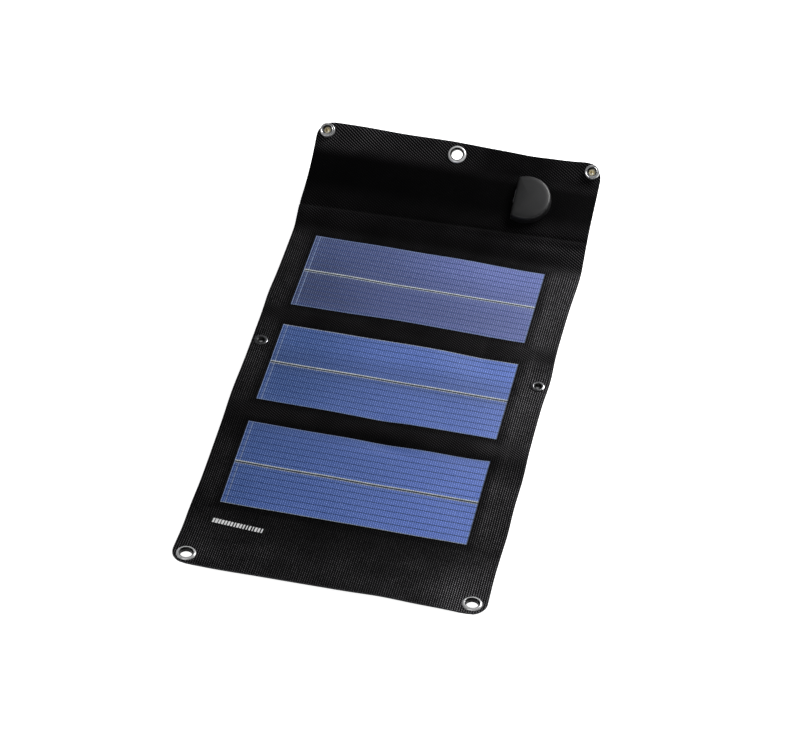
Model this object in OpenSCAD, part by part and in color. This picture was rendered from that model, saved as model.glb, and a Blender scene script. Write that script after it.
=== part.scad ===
// Fold-up solar charger for camping: three thin-film modules laminated between a black rear
// cloth and a clear embossed film, with a junction box on the flap, eyelets and snap fasteners.
// The panel lies open. X runs across it, +Y points to the flap, and the lowest cloth is at z = 0.
// A place on the laminate is given as (x, run, height): run is the length along the cloth from the
// flap's free edge, and height is measured from the rear face, square to the cloth.

/* [Laminate] */
// Width of the panel
panel_w = 245; // [225:1:300]
// Length of the cloth when laid flat
panel_l = 507; // [500:1:530]
// Radius of the four outer corners
corner_r = 13; // [6:1:16]
// Thickness of the rear cloth
cloth_t = 0.6; // [0.4:0.1:0.8]
// Thickness of the front film with its filler
film_t = 0.8; // [0.8:0.1:1.2]

/* [Folds] */
// Run of the fold between flap and spine
flap_fold = 77; // [74:1:80]
// Run of the fold between spine and panel 1
spine_fold = 103; // [100:1:105]
// Pitch of the three panels
pitch = 116; // [114:1:118]
// Run of the hem's fold past panel 3
hem_fold = 442; // [440:1:446]

/* [Resting shape] */
// Slope of the flap, rising away from the user
flap_slope = 19.5; // [5:0.5:25]
// Extra slope of the curled strip along the flap's free edge
curl_slope = 10; // [0:1:15]
// Slope of the spine
spine_slope = 20.5; // [5:0.5:25]
// Slope of panel 1
slope_1 = -1.7; // [-3:0.1:0]
// Slope of panel 2
slope_2 = -0.2; // [-1:0.1:1]
// Slope of panel 3
slope_3 = 1.7; // [0:0.1:3]
// Slope of the hem
hem_slope = -4.6; // [-8:0.1:0]

/* [Modules] */
// Width of a module's cells
cell_w = 192; // [180:1:196]
// Height of a module, its two cells with the joint between them
module_h = 91; // [80:1:91]
// Run at the top edge of module 1
module_run = 110; // [109.5:0.5:112]
// Dark margin left of the modules
left_margin = 21; // [18:1:24]
// Width of the bare contact strip along each module's left edge
contact_w = 4; // [3:0.5:5]
// Height of the joint between the two cells
joint_h = 1.6; // [1:0.2:2]
// Thickness of a thin-film cell
cell_t = 0.4; // [0.3:0.1:0.5]

/* [Junction box] */
// Radius of the round side
box_r = 21.2; // [20:0.2:24]
// Distance from the box's centre to its flat side
box_flat = 10; // [9:0.5:12]
// Height of the box above the film
box_h = 8.5; // [8.5:0.5:10]
// Distance of the box's centre from the panel's centre line
box_x = 65; // [50:1:80]
// Run of the box's centre
box_run = 43.8; // [43:0.2:45]
// Wall thickness of the cover
box_wall = 1.5; // [1.2:0.1:1.8]

/* [Fasteners] */
// Radius of an eyelet's hole
eyelet_bore = 4.75; // [4:0.25:5]
// Radius of an eyelet's flange
eyelet_r = 7.8; // [7.4:0.1:8.2]
// Outer radius of a snap fastener
snap_r = 6.3; // [6:0.1:6.5]
// Distance of a snap fastener from the side edge
snap_edge = 7.6; // [7:0.1:9]
// Run of the snap sockets on the flap
socket_run = 7; // [7:0.5:9]
// Run of the snap studs on panel 2
stud_run = 250; // [240:1:260]

/* [Hidden] */
$fn = 64;

top = cloth_t + film_t;
module_left = -panel_w / 2 + left_margin;
cell_left = module_left + contact_w;
fold_2 = module_run + module_h + (pitch - module_h) / 2;
fold_3 = fold_2 + pitch;

// Each fold: its run, half the width of its soft strip, and its axis above the film
FOLDS = [
    [flap_fold, 4, 1.5], [spine_fold, 4, 1.5], [fold_2, 11, 7], [fold_3, 6, 3.2],
    [hem_fold, 4, 1.6],
];
SLOPES = [flap_slope, spine_slope, slope_1, slope_2, slope_3, hem_slope];
curl_run = 18;
curl_bend = 3;

// Knots of the resting shape: run and slope, straight plates joined by evenly bent strips
KNOTS = concat(
    [[0, flap_slope + curl_slope], [curl_run, flap_slope + curl_slope],
     [curl_run + curl_bend, flap_slope]],
    [for (i = [0 : 4], side = [-1, 1])
        [FOLDS[i][0] + side * FOLDS[i][1], SLOPES[side < 0 ? i : i + 1]]],
    [[panel_l, hem_slope]]
);

function slope_at(run) = lookup(run, KNOTS);

// Drop in y and z along a stretch whose slope turns evenly from a to b
function stretch(length, a, b) =
    abs(b - a) < 0.001
        ? [length * cos(a), length * sin(a)]
        : let (r = length * 180 / (PI * (b - a))) [r * (sin(b) - sin(a)), r * (cos(a) - cos(b))];

function drop(run, i = 0) =
    i >= len(KNOTS) - 1 || run <= KNOTS[i][0]
        ? [0, 0]
        : let (from = KNOTS[i][0], to = min(run, KNOTS[i + 1][0]))
            stretch(to - from, slope_at(from), slope_at(to)) + drop(run, i + 1);

// Lowest point of the rear face, found along the two valleys that touch the ground
lowest = min([for (i = [1, 4], k = [-10 : 10])
    -drop(FOLDS[i][0] + k * FOLDS[i][1] / 10)[1]]);
start = [drop(panel_l)[0] / 2, -lowest];

// Point of the side view at a run and a height above the rear face
function side(run, height) =
    let (s = slope_at(run), d = drop(run))
        [start[0] - d[0] - sin(s) * height, start[1] - d[1] + cos(s) * height];

function stations(from, to) =
    concat([from],
        [for (i = [0 : len(KNOTS) - 2], k = [0 : 5])
            let (a = KNOTS[i], b = KNOTS[i + 1], r = a[0] + (b[0] - a[0]) * k / 5)
            if (a[1] != b[1] && r > from + 0.01 && r < to - 0.01
                && (k > 0 || i == 0 || KNOTS[i - 1][1] == a[1])) r],
        [to]);

// Sheet between two runs, two heights and two sides, following the resting shape
module sheet(from, to, low, high, left = -panel_w / 2, right = panel_w / 2) {
    runs = stations(from, to);
    last = len(runs) - 1;
    translate([left, 0, 0])
        rotate([90, 0, 90])
            linear_extrude(right - left)
                polygon(concat(
                    [for (r = runs) side(r, low)],
                    [for (i = [last : -1 : 0]) side(runs[i], high)]
                ));
}

// Puts its children on the laminate, with z square to it and z = 0 at the rear face
module on_panel(x, run) {
    p = side(run, 0);
    translate([x, p[0], p[1]])
        rotate([slope_at(run), 0, 0])
            children();
}

module ring(inner, outer, low, high) {
    difference() {
        translate([0, 0, low]) cylinder(r = outer, h = high - low);
        translate([0, 0, low - 1]) cylinder(r = inner, h = high - low + 2);
    }
}

// Waste outside a rounded outer corner; x_side and y_side are 1 or -1
module corner_waste(x_side, y_side) {
    difference() {
        translate([x_side > 0 ? 0 : -corner_r - 5, y_side > 0 ? 0 : -corner_r - 5, -9])
            cube([corner_r + 5, corner_r + 5, 20]);
        translate([0, 0, -10]) cylinder(r = corner_r, h = 22);
    }
}

module outer_corners(run, y_side) {
    for (x_side = [-1, 1])
        on_panel(x_side * (panel_w / 2 - corner_r), run) corner_waste(x_side, y_side);
}

// Holes through the laminate for the fasteners of the flap, panel 2 and the hem
eyelet_barrel = eyelet_bore + 0.4;
barrel_r = 2.6;
flap_eyelet_x = -1.4;
flap_eyelet_run = 10;
hem_eyelet_x = panel_w / 2 - 10.4;
hem_eyelet_run = panel_l - 9.6;
snap_x = panel_w / 2 - snap_edge;

module hole(x, run, r) {
    on_panel(x, run) translate([0, 0, -5]) cylinder(r = r, h = 12);
}

module flap_holes() {
    hole(flap_eyelet_x, flap_eyelet_run, eyelet_barrel);
    for (s = [-1, 1]) hole(s * snap_x, socket_run, barrel_r);
    outer_corners(corner_r, 1);
}

module stud_holes() {
    for (s = [-1, 1]) hole(s * snap_x, stud_run, barrel_r);
}

module hem_holes() {
    for (s = [-1, 1]) hole(s * hem_eyelet_x, hem_eyelet_run, eyelet_barrel);
    outer_corners(panel_l - corner_r, -1);
}

// --- Cloth, film and fold strips ---

module plate(i, low, high) {
    from = i == 0 ? 0 : FOLDS[i - 1][0] + FOLDS[i - 1][1];
    to = i == 5 ? panel_l : FOLDS[i][0] - FOLDS[i][1];
    sheet(from, to, low, high);
}

module rear_cloth_flap() {
    color("#1b1b1e") difference() { plate(0, 0, cloth_t); flap_holes(); }
}

module rear_cloth_spine() {
    color("#1b1b1e") plate(1, 0, cloth_t);
}

module rear_cloth_panel(i) {
    color("#1b1b1e") difference() {
        plate(i + 1, 0, cloth_t);
        if (i == 2) stud_holes();
    }
}

module rear_cloth_hem() {
    color("#1b1b1e") difference() { plate(5, 0, cloth_t); hem_holes(); }
}

// Lead passage under the box, where the bus ribbon comes up through the film
lead_w = 8;
lead_x = 9;
module front_film_flap() {
    color("#26262a") difference() {
        plate(0, cloth_t, top);
        flap_holes();
        on_panel(box_x + lead_x, box_run) translate([-lead_w / 2, -3, 0]) cube([lead_w, 6, 5]);
    }
}

module front_film_spine() {
    color("#26262a") plate(1, cloth_t, top);
}

// The film's rear face is recessed around the cells, the strips and the ribbon
module front_film_panel(i) {
    run = module_run + (i - 1) * pitch;
    color("#26262a") difference() {
        plate(i + 1, cloth_t, top);
        sheet(run, run + module_h, cloth_t - 1, cloth_t + cell_t, module_left,
            cell_left + cell_w);
        bus_shape(i, cloth_t - 1);
        if (i == 2) stud_holes();
    }
}

module front_film_hem() {
    color("#26262a") difference() { plate(5, cloth_t, top); hem_holes(); }
}

module fold_strip(i) {
    color("#1f1f22")
        sheet(FOLDS[i][0] - FOLDS[i][1], FOLDS[i][0] + FOLDS[i][1], 0, top);
}

// --- Cells and their conductors ---

module cell(i, lower) {
    h = (module_h - joint_h) / 2;
    run = module_run + (i - 1) * pitch + (lower ? h + joint_h : 0);
    color(i == 1 ? "#4a5590" : "#3d5fa8")
        sheet(run, run + h, cloth_t, cloth_t + cell_t, cell_left, cell_left + cell_w);
}

module cell_joint(i) {
    run = module_run + (i - 1) * pitch + (module_h - joint_h) / 2;
    color("silver")
        sheet(run, run + joint_h, cloth_t, cloth_t + cell_t, cell_left, cell_left + cell_w);
}

module contact_strip(i) {
    run = module_run + (i - 1) * pitch;
    color("#c8ccd2")
        sheet(run, run + module_h, cloth_t, cloth_t + cell_t, module_left, cell_left);
}

ribbon_x = cell_left + cell_w + 6;
ribbon_w = 5;
ribbon_t = 0.2;
tab_h = 6;

// Ribbon beside a module, with the tab that joins it to the module's right edge
module bus_shape(i, low = cloth_t) {
    from = FOLDS[i][0] + FOLDS[i][1];
    to = FOLDS[i + 1][0] - FOLDS[i + 1][1];
    middle = module_run + (i - 1) * pitch + module_h / 2;
    bottom = i == 3 ? middle + tab_h / 2 : to;
    sheet(from, bottom, low, cloth_t + ribbon_t, ribbon_x, ribbon_x + ribbon_w);
    sheet(middle - tab_h / 2, middle + tab_h / 2, low, cloth_t + ribbon_t,
        cell_left + cell_w, ribbon_x);
}

module bus_ribbon(i) {
    color("#b87a4a") bus_shape(i);
}

// --- Junction box on the flap ---

base_t = 1;
board_z = top + base_t + 1;
board_t = 1.2;
board_top = board_z + board_t;
usb_w = 13.2;
usb_h = 5.4;
usb_l = 14;
usb_z = top + base_t;

// D-shaped outline: a disc with a flat side towards the panel's middle
module d_shape(r, flat, h) {
    difference() {
        cylinder(r = r, h = h);
        translate([-r - 1 - flat, -r - 1, -1]) cube([r + 1, 2 * r + 2, h + 2]);
    }
}

module in_box() {
    on_panel(box_x, box_run) children();
}

module box_base() {
    color("#2c2d31") in_box() difference() {
        union() {
            translate([0, 0, top]) d_shape(box_r, box_flat, base_t);
            for (p = SCREWS)
                translate([p[0], p[1], top]) cylinder(r = 2.2, h = board_z - top);
        }
        translate([lead_x - lead_w / 2, -3, top - 1]) cube([lead_w, 6, base_t + 2]);
        for (p = SCREWS)
            translate([p[0], p[1], top - 1]) cylinder(r = 1, h = 10);
    }
}

SCREWS = [[-6, -14.5], [-6, 14.5], [15, 0]];

// The cover's rim stands on the base; its top edge is rounded in three steps
cover_low = top + base_t;
cover_top = top + box_h;
module box_cover() {
    color("#3a3b40") in_box() difference() {
        union() {
            translate([0, 0, cover_low]) d_shape(box_r, box_flat, box_h - base_t - 2);
            translate([0, 0, cover_top - 2]) d_shape(box_r - 0.4, box_flat - 0.2, 0.8);
            translate([0, 0, cover_top - 1.2]) d_shape(box_r - 1.2, box_flat - 0.6, 0.7);
            translate([0, 0, cover_top - 0.5]) d_shape(box_r - 2.6, box_flat - 1.3, 0.5);
        }
        difference() {
            translate([0, 0, cover_low - 1])
                d_shape(box_r - box_wall, box_flat - box_wall, box_h - base_t - 1.4 + 1);
            for (p = SCREWS)
                translate([p[0], p[1], board_top]) cylinder(r = 2.2, h = box_h);
        }
        for (p = SCREWS)
            translate([p[0], p[1], cover_low - 1]) cylinder(r = 0.8, h = 7);
        translate([-box_flat - 1, -usb_w / 2, cover_low - 1])
            cube([box_wall + 2, usb_w, usb_h + 1]);
    }
}

module circuit_board() {
    color("#1f5a35") in_box() difference() {
        translate([0, 0, board_z]) d_shape(box_r - box_wall - 1, box_flat - box_wall - 0.2, board_t);
        for (p = SCREWS)
            translate([p[0], p[1], board_z - 1]) cylinder(r = 1.1, h = board_t + 2);
        translate([-box_flat - 1, -usb_w / 2 - 0.3, board_z - 1])
            cube([usb_l + 1.6, usb_w + 0.6, board_t + 2]);
    }
}

inductor_x = 9.5;
module inductor() {
    color("#3c3c40") in_box() translate([inductor_x, 9, board_top]) ring(1.5, 3.8, 0, 3.6);
}

module capacitors() {
    color("#8d9096") in_box()
        for (y = [-7.5, -11.5])
            translate([9, y, board_top]) cylinder(r = 1.7, h = 3.6);
}

module regulator_chip() {
    color("#151517") in_box() translate([6.2, -3, board_top]) cube([5, 5, 1.2]);
}

// Folded steel shell of the outlet, sunk through the board and open at the box's flat side
shell_t = 0.35;
module usb_shell() {
    color("silver") in_box() translate([-box_flat + 0.2, 0, usb_z]) difference() {
        translate([0, -usb_w / 2, 0]) cube([usb_l, usb_w, usb_h]);
        translate([-1, -usb_w / 2 + shell_t, shell_t])
            cube([usb_l + 1 - shell_t, usb_w - 2 * shell_t, usb_h - 2 * shell_t]);
    }
}

module usb_tongue() {
    color("#e8e8e6") in_box()
        translate([-box_flat + 2.4, -5.2, usb_z + usb_h - 2.4])
            cube([usb_l - shell_t - 2.2, 10.4, 1.6]);
}

// Screws driven from the rear, through the base and board into the cover's bosses
module cover_screws() {
    color("#8b8d92") in_box()
        for (p = SCREWS) {
            translate([p[0], p[1], top + 0.2]) cylinder(r = 0.8, h = 6.5);
        }
}

// --- Eyelets ---

// Rolled flange and barrel, pressed from the front; the washer closes it behind
flange_t = 1.4;
module eyelet_shape() {
    ring(eyelet_bore, eyelet_bore + 0.4, -0.9, top + 0.2);
    rotate_extrude()
        difference() {
            translate([(eyelet_bore + eyelet_r) / 2, top])
                scale([1, flange_t * 2 / (eyelet_r - eyelet_bore)])
                    circle(r = (eyelet_r - eyelet_bore) / 2);
            translate([0, top - 5]) square([eyelet_r + 1, 5]);
        }
}

module washer_shape() {
    ring(eyelet_bore + 0.4, eyelet_r, -0.8, 0);
}

module flap_eyelet() {
    color("#cfd1d4") on_panel(flap_eyelet_x, flap_eyelet_run) eyelet_shape();
}

module flap_eyelet_washer() {
    color("#cfd1d4") on_panel(flap_eyelet_x, flap_eyelet_run) washer_shape();
}

module hem_eyelets() {
    color("#cfd1d4")
        for (s = [-1, 1]) on_panel(s * hem_eyelet_x, hem_eyelet_run) eyelet_shape();
}

module hem_eyelet_washers() {
    color("#cfd1d4")
        for (s = [-1, 1]) on_panel(s * hem_eyelet_x, hem_eyelet_run) washer_shape();
}

// --- Snap fasteners ---

socket_h = 3.2;
socket_hole = 3.4;
cap_t = 1.2;
post_h = 0.9;
stud_base_t = 0.7;
stud_h = 3;
knob_r = 3.1;

module at_sockets() {
    for (s = [-1, 1]) on_panel(s * snap_x, socket_run) children();
}

module at_studs() {
    for (s = [-1, 1]) on_panel(s * snap_x, stud_run) children();
}

// Cap behind the flap; its brass barrel goes through the cloth and flares in the socket
module socket_caps() {
    color("#b3884a") at_sockets() {
        translate([0, 0, -cap_t]) cylinder(r = snap_r, h = cap_t);
        ring(1.8, barrel_r, 0, top + 0.9);
        ring(1.8, 2.9, top + 0.9, top + 1.3);
    }
}

module snap_sockets() {
    color("#cfd1d4") at_sockets() {
        ring(barrel_r, snap_r, top, top + 0.8);
        ring(4.6, snap_r, top + 0.8, top + socket_h - 0.6);
        ring(socket_hole, snap_r - 0.3, top + socket_h - 0.6, top + socket_h);
    }
}

// Split ring spring held in the socket's groove
module socket_springs() {
    color("#9a9ca0") at_sockets() difference() {
        ring(3.4, 4.4, top + 1.4, top + 2.2);
        translate([3, -0.6, top]) cube([2, 1.2, 4]);
    }
}

module stud_posts() {
    color("#2b2b2e") at_studs() {
        ring(1.8, barrel_r, -0.8, top);
        ring(1.8, snap_r - 0.6, top, top + post_h);
    }
}

module snap_studs() {
    color("#2b2b2e") at_studs() {
        ring(barrel_r, snap_r - 0.6, -stud_base_t, 0);
        ring(barrel_r, knob_r, -stud_h, -stud_base_t);
    }
}

// --- Marking ---

label_w = 46.4;
label_l = 6.8;
label_x = -81.7;
label_run = 455.4;
label_turn = -4;
module marking_label() {
    color("#3a3a3e") on_panel(label_x, label_run)
        rotate([0, 0, label_turn])
            translate([-label_w / 2, -label_l / 2, top])
                cube([label_w, label_l, 0.15]);
}

rear_cloth_flap();
rear_cloth_spine();
rear_cloth_panel(1);  // rear_cloth_1
rear_cloth_panel(2);  // rear_cloth_2
rear_cloth_panel(3);  // rear_cloth_3
rear_cloth_hem();
front_film_flap();
front_film_spine();
front_film_panel(1);  // front_film_1
front_film_panel(2);  // front_film_2
front_film_panel(3);  // front_film_3
front_film_hem();
fold_strip(0);  // fold_flap
fold_strip(1);  // fold_spine
fold_strip(2);  // fold_1_2
fold_strip(3);  // fold_2_3
fold_strip(4);  // fold_hem
cell(1, false);  // upper_cell_1
cell(1, true);  // lower_cell_1
cell_joint(1);  // cell_joint_1
contact_strip(1);  // contact_strip_1
cell(2, false);  // upper_cell_2
cell(2, true);  // lower_cell_2
cell_joint(2);  // cell_joint_2
contact_strip(2);  // contact_strip_2
cell(3, false);  // upper_cell_3
cell(3, true);  // lower_cell_3
cell_joint(3);  // cell_joint_3
contact_strip(3);  // contact_strip_3
bus_ribbon(1);  // bus_ribbon_1
bus_ribbon(2);  // bus_ribbon_2
bus_ribbon(3);  // bus_ribbon_3
box_base();
box_cover();
circuit_board();
inductor();
capacitors();
regulator_chip();
usb_shell();
usb_tongue();
cover_screws();
flap_eyelet();
flap_eyelet_washer();
hem_eyelets();
hem_eyelet_washers();
socket_caps();
snap_sockets();
socket_springs();
stud_posts();
snap_studs();
marking_label();
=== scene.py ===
import math

import bpy
import numpy as np
from mathutils import Matrix, Vector


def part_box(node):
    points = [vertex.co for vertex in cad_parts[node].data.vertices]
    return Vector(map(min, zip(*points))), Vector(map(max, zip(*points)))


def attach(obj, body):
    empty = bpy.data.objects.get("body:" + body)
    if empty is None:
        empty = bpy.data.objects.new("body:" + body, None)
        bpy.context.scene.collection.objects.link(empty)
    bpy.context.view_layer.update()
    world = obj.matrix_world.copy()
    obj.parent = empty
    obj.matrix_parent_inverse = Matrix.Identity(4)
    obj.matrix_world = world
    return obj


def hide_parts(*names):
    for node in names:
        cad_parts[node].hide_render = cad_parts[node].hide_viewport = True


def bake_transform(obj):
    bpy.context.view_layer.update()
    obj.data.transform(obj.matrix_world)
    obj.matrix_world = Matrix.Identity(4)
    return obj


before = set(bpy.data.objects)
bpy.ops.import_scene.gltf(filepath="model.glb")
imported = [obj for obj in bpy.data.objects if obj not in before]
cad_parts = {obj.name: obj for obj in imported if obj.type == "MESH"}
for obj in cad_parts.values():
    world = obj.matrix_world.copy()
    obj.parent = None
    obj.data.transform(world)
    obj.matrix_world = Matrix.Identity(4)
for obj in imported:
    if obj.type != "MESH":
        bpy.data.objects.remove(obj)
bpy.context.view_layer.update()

# ---------------------------------------------------------------------------------------------
# Camera, floor and light
# A long lens looks down the open panel from its hem. The panel lies on a plain pale table, under
# a soft overcast light, with one near panel light past its far right corner.
# ---------------------------------------------------------------------------------------------
scene = bpy.context.scene
scene.view_settings.view_transform = "Standard"

lens = bpy.data.cameras.new("camera")
lens.sensor_fit = "HORIZONTAL"
lens.sensor_width = 36
lens.lens = 165.44
lens.clip_end = 30
camera = bpy.data.objects.new("camera", lens)
look_right = Vector((0.97606, 0.2164, 0.02196))
look_up = Vector((-0.16498, 0.67075, 0.7231))
look_ahead = Vector((-0.14175, 0.70941, -0.6904))
turned_camera = Matrix((look_right, look_up, -look_ahead)).transposed().to_4x4()
camera.matrix_world = Matrix.Translation((0.4251, -2.1128, 2.0556)) @ turned_camera
scene.collection.objects.link(camera)
scene.camera = camera

world = bpy.data.worlds.new("soft_room")
world.use_nodes = True
world.node_tree.nodes["Background"].inputs["Color"].default_value = (0.97, 0.98, 1.0, 1)
world.node_tree.nodes["Background"].inputs["Strength"].default_value = 0.12
scene.world = world


def soft_light(name, place_at, aim_at, size, power, colour=(1, 1, 1)):
    lamp = bpy.data.lights.new(name, "AREA")
    lamp.shape = "RECTANGLE"
    lamp.size, lamp.size_y = size
    lamp.energy = power
    lamp.color = colour
    lamp_object = bpy.data.objects.new(name, lamp)
    lamp_object.location = place_at
    aim = Vector(aim_at) - Vector(place_at)
    lamp_object.rotation_euler = aim.to_track_quat("-Z", "Y").to_euler()
    scene.collection.objects.link(lamp_object)


soft_light("far_right_light", (0.46, 0.62, 0.56), (0.06, -0.02, 0.0), (0.5, 0.4), 10.0)
soft_light("front_light", (-0.3, -1.7, 1.5), (0.0, 0.0, 0.0), (1.4, 1.0), 9.0)

floor_mesh = bpy.data.meshes.new("floor")
floor_mesh.from_pydata(
    [(-6, -6, 0), (6, -6, 0), (6, 6, 0), (-6, 6, 0)], [], [(0, 1, 2, 3)]
)
floor = bpy.data.objects.new("floor", floor_mesh)
scene.collection.objects.link(floor)
floor_paint = bpy.data.materials.new("pale_table")
floor_paint.use_nodes = True
table_shader = floor_paint.node_tree.nodes["Principled BSDF"]
table_shader.inputs["Base Color"].default_value = (0.9, 0.9, 0.9, 1)
table_shader.inputs["Roughness"].default_value = 0.8
table_shader.inputs["Specular IOR Level"].default_value = 0.1
table_shader.inputs["Emission Color"].default_value = (1, 1, 1, 1)
table_shader.inputs["Emission Strength"].default_value = 0.85
floor_mesh.materials.append(floor_paint)

# ---------------------------------------------------------------------------------------------
# Laminate
# Woven black cloth behind, and an embossed clear film over the cells in front, welded to one
# sheet 1.4 mm thick. It is one length in the real thing; here it is parted at the middle of each
# stiff plate, so that every part crosses one fold. It was cut 245 by 507 mm with round corners.
# ---------------------------------------------------------------------------------------------
PANEL_W = 245.0
PANEL_L = 507.0
CORNER_R = 13.0
TOP = 1.4
FOLD_RUNS = [77.0, 103.0, 213.5, 329.5, 442.0]
FOLD_HALVES = [4.0, 4.0, 11.0, 6.0, 4.0]
PLATE_SLOPES = [19.5, 20.5, -1.7, -0.2, 1.7, -4.6]
CURL_SLOPE = 10.0
CURL_RUN = 18.0
CURL_BEND = 3.0
MODULE_PITCH = 116.0
MODULE_RUNS = [110.0 + MODULE_PITCH * number for number in range(3)]
MODULE_L = 91.0
MODULE_W = 196.0
MODULE_LEFT = -PANEL_W / 2 + 21
MODULE_MIDDLE = 46.0
CELL_LEFT = MODULE_LEFT + 4
CELL_W = MODULE_W - 4

knots = [(0, PLATE_SLOPES[0] + CURL_SLOPE), (CURL_RUN, PLATE_SLOPES[0] + CURL_SLOPE)]
knots.append((CURL_RUN + CURL_BEND, PLATE_SLOPES[0]))
for number, (fold, half) in enumerate(zip(FOLD_RUNS, FOLD_HALVES)):
    knots.append((fold - half, PLATE_SLOPES[number]))
    knots.append((fold + half, PLATE_SLOPES[number + 1]))
knots.append((PANEL_L, PLATE_SLOPES[-1]))

run_line = np.linspace(-6, PANEL_L + 6, 20761)
slope_line = np.radians(np.interp(run_line, *zip(*knots)))
slope_between = (slope_line[1:] + slope_line[:-1]) / 2
run_step = run_line[1] - run_line[0]
drop_y = np.concatenate([[0], np.cumsum(np.cos(slope_between)) * run_step])
drop_z = np.concatenate([[0], np.cumsum(np.sin(slope_between)) * run_step])
drop_y -= np.interp(0, run_line, drop_y)
drop_z -= np.interp(0, run_line, drop_z)
start_y = np.interp(PANEL_L, run_line, drop_y) / 2
start_z = drop_z.max()


def place(x, run, height):
    """Metres in the model's frame from mm along the cloth and above its rear face."""
    slope = np.interp(run, run_line, slope_line)
    y = start_y - np.interp(run, run_line, drop_y) - np.sin(slope) * height
    z = start_z - np.interp(run, run_line, drop_z) + np.cos(slope) * height
    return np.stack([x + 0 * y, y, z], -1) / 1000


hem_low, hem_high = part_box("rear_cloth_hem")
assert abs(hem_low.y - place(0, PANEL_L, 0)[1]) < 0.0002

# Middles of the fasteners and the box, as x and run; then the flat spots they need, with a
# radius and the width over which the cloth's own shape comes back
EYELETS = [(-1.4, 10.0), (-112.1, 497.4), (112.1, 497.4)]
SOCKETS = [(-114.9, 7.0), (114.9, 7.0)]
POSTS = [(-114.9, 250.0), (114.9, 250.0)]
BOX_AT = (65.0, 43.8)
STILL_SPOTS = [(x, run, 8.2, 5) for x, run in EYELETS]
STILL_SPOTS += [(x, run, 6.6, 5) for x, run in SOCKETS + POSTS]
STILL_SPOTS.append((*BOX_AT, 22.5, 8))


def smooth(value):
    value = np.clip(value, 0, 1)
    return value * value * (3 - 2 * value)


def mound(x, run, middle_x, middle_run, size_x, size_run, turn=0.0):
    """A soft bump of height 1, turned by an angle in degrees on the cloth."""
    c, s = math.cos(math.radians(turn)), math.sin(math.radians(turn))
    across = (x - middle_x) * c + (run - middle_run) * s
    along = (run - middle_run) * c - (x - middle_x) * s
    return np.exp(-((across / size_x) ** 2) - (along / size_run) ** 2)


def plateau(value, low, high, soft):
    return smooth((value - low + soft) / soft) * smooth((high + soft - value) / soft)


# Dents and humps in the cloth: middle x, middle run, size across, size along, turn, height
DENTS = [
    (4, 318, 15, 4.5, 8, -0.75), (16, 347, 17, 4.5, 6, -0.9), (12, 333, 24, 6, 4, 0.5),
    (2, 345, 26, 9, -4, -0.9), (62, 229, 22, 14, 3, -1.2), (10, 150, 60, 14, 0, -0.7),
    (0, 204, 44, 10, 0, 0.7), (-60, 343, 50, 12, 0, -0.6), (70, 344, 26, 10, 0, -0.7),
    (65, 213, 3.0, 12, 0, -0.6), (-60, 214, 30, 5, 3, 0.4), (20, 212, 40, 5, -2, -0.3),
    (-50, 495, 13, 8, 0, -0.45), (40, 494, 22, 7, -10, -0.4), (84, 483, 14, 9, 20, -0.4),
    (-112, 444.5, 7, 1.5, 22, 0.6), (-90, 332, 25, 6, -5, -0.4), (80, 330, 25, 6, 3, 0.35),
    (105, 247, 6, 4, 30, -0.6), (108, 262, 8, 5, -20, 0.35), (-112, 264, 8, 5, 20, -0.3),
    (-40, 40, 38, 22, 10, 0.5), (20, 62, 30, 9, -6, -0.4), (100, 66, 22, 8, -8, 0.5),
    (-100, 30, 20, 26, 0, -0.35), (-95, 92, 20, 5, 5, 0.3), (50, 90, 30, 6, -3, 0.35),
    (60, 470, 30, 9, 8, 0.3), (-10, 468, 34, 8, -6, 0.25), (112, 405, 8, 18, 0, -0.25),
]


def hold_still(height, x, run):
    """Flattens a height field under the fasteners and the box."""
    for at_x, at_run, still, fade in STILL_SPOTS:
        height = height * smooth((np.hypot(x - at_x, run - at_run) - still) / fade)
    return height


def ripple(x, run):
    """How far the whole sheet stands off its even course, in mm."""
    height = 0.16 * np.sin(x / 17.5 + run / 31 + 0.6) * np.sin(run / 23 - x / 60 + 1.1)
    height += 0.14 * np.sin(x / 11 - run / 37 + 2.1) * np.sin(run / 15 + 0.4)
    crease = run - (76.85 - 0.0257 * x)
    height += -0.85 * np.exp(-((crease / 1.5) ** 2)) + 0.5 * np.exp(-(((crease - 4.2) / 2.6) ** 2))
    for at_x, at_run, size_x, size_run, turn, depth in DENTS:
        height += depth * mound(x, run, at_x, at_run, size_x, size_run, turn)
    for at_x, at_run in POSTS + SOCKETS + EYELETS:
        away = np.hypot(x - at_x, run - at_run)
        around = np.arctan2(run - at_run, x - at_x)
        height += 0.22 * np.sin(5 * around + at_x) * np.exp(-(((away - 10) / 3.2) ** 2))
    return hold_still(height, x, run)


RIBBON = (100.5, 105.5)


def relief(x, run):
    """What the ribbon, its tabs and the solder show through the film, in mm."""
    height = 0.26 * plateau(x, *RIBBON, 1.2) * plateau(run, 118, 386, 4)
    for module_run in MODULE_RUNS:
        middle = module_run + MODULE_L / 2
        height += 0.24 * plateau(x, 96, 102, 1) * plateau(run, middle - 2.4, middle + 2.4, 1.2)
        height += 0.4 * mound(x, run, 99.5, middle - 14, 3.4, 9)
    height += 0.3 * mound(x, run, 99.6, 327, 2.0, 8)
    return hold_still(height, x, run)


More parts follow.
